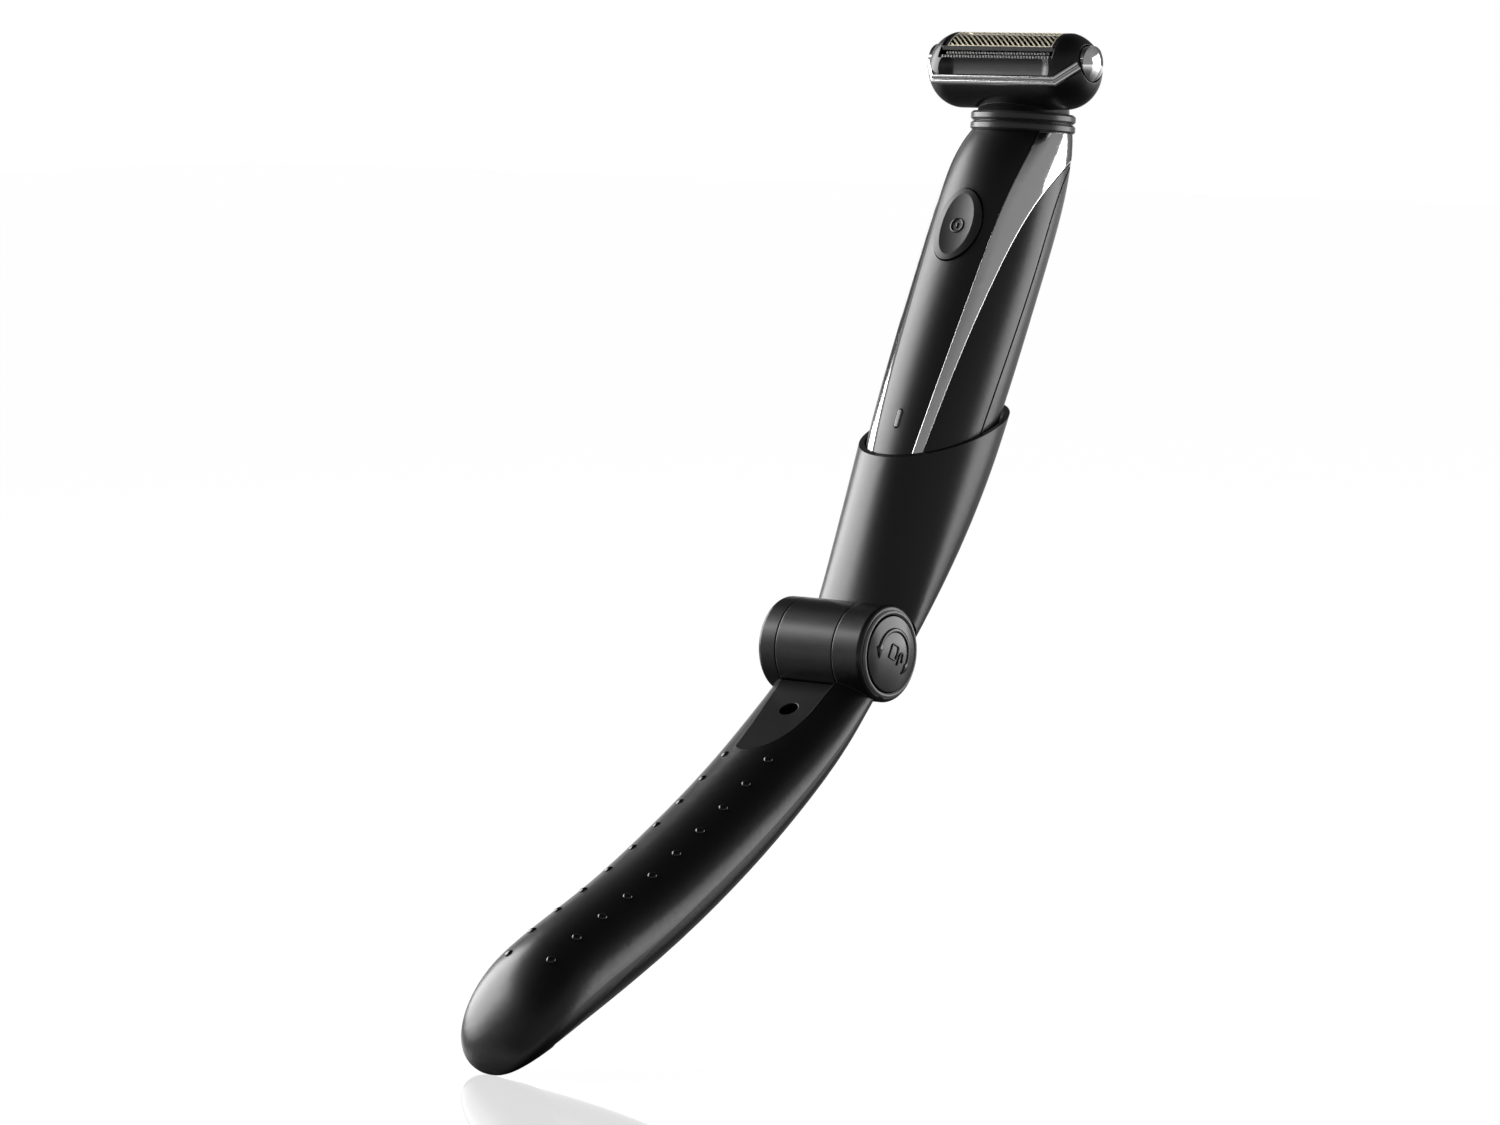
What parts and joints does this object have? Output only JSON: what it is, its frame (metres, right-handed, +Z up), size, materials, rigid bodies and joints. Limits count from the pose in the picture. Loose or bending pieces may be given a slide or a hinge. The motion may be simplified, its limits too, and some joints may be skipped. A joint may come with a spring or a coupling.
{
  "type": "electric shaver",
  "caption": "Foil shaver in a holder cup on a barrel hinge with a release button, on a long curved handle with grip nubs and a hanging hole; trimmer strip, oval power button, bright trims.",
  "frame": {"origin": "centre of the hanging hole's mouth, on the floor of the scoop in the handle's front", "axes": "+Z up, +X along the hinge to the right as seen from the front, -Y towards the front"},
  "size_m": [0.0564, 0.2433, 0.2594],
  "materials": {
    "satin_black": "satin moulded plastic with a fine grain",
    "gloss_black": "glossy moulded plastic",
    "rubber_black": "matt soft-touch",
    "dark_grey": "satin dark grey",
    "grey_plastic": "matt",
    "chrome": "polished plating",
    "steel": "bright",
    "foil_steel": "thin perforated, warm tint",
    "light_window": "clear light pipe",
    "board_green": "matt"
  },
  "bodies": {
    "handle": {"handle_shell": "satin_black", "handle_cover": "rubber_black", "grip_nubs": "gloss_black", "hinge_axle": "steel", "hinge_bezel": "grey_plastic"},
    "release": {"release_button": "satin_black"},
    "holder": {"holder_cup": "satin_black", "hinge_bush": "grey_plastic"},
    "shaver": {"front_shell": "gloss_black", "trim_right": "chrome", "trim_left": "chrome", "side_panel_right": "rubber_black", "side_panel_left": "rubber_black", "rear_shell": "satin_black", "base_cap": "satin_black", "charge_socket": "grey_plastic", "chassis": "grey_plastic", "battery_cell": "steel", "motor": "steel", "circuit_board": "board_green", "key_switch": "grey_plastic", "led_window": "light_window", "lower_collar": "dark_grey", "upper_collar": "dark_grey", "chrome_band": "chrome", "head_base": "gloss_black", "trimmer_comb": "steel"},
    "power": {"power_button": "satin_black"},
    "crank": {"eccentric": "steel"},
    "latch_right": {"roundel_right": "chrome"},
    "latch_left": {"roundel_left": "chrome"},
    "cassette": {"foil_frame": "gloss_black", "foil": "foil_steel"},
    "cutter": {"inner_cutter": "steel", "drive_bridge": "grey_plastic", "trimmer_blade": "steel"}
  },
  "joints": [
    {"name": "release_press", "type": "slide", "parent": "handle", "child": "release", "axis": [-1, 0, 0], "range_m": [0, 0.002], "stiffness_N_per_m": 1500},
    {"name": "holder_fold", "type": "hinge", "parent": "handle", "child": "holder", "pos_m": [0, 0.0214, 0.0141], "axis": [1, 0, 0], "range_deg": [-25, 132]},
    {"name": "shaver_lift", "type": "slide", "parent": "holder", "child": "shaver", "axis": [0, 0.4602, 0.8878], "range_m": [0, 0.065]},
    {"name": "power_press", "type": "slide", "parent": "shaver", "child": "power", "axis": [0, 0.8878, -0.4602], "range_m": [0, 0.0008], "stiffness_N_per_m": 1500},
    {"name": "crank_spin", "type": "hinge", "parent": "shaver", "child": "crank", "pos_m": [0, 0.09253, 0.12591], "axis": [0, 0.4602, 0.8878], "continuous": true},
    {"name": "latch_right_press", "type": "slide", "parent": "shaver", "child": "latch_right", "axis": [-1, 0, 0], "range_m": [0, 0.0012], "stiffness_N_per_m": 1500},
    {"name": "latch_left_press", "type": "slide", "parent": "shaver", "child": "latch_left", "axis": [1, 0, 0], "range_m": [0, 0.0012], "stiffness_N_per_m": 1500},
    {"name": "cassette_lift", "type": "slide", "parent": "shaver", "child": "cassette", "axis": [0, 0, 1], "range_m": [0, 0.02]},
    {"name": "cutter_shuttle", "type": "slide", "parent": "shaver", "child": "cutter", "axis": [1, 0, 0], "range_m": [-0.0008, 0.0008]}
  ]
}
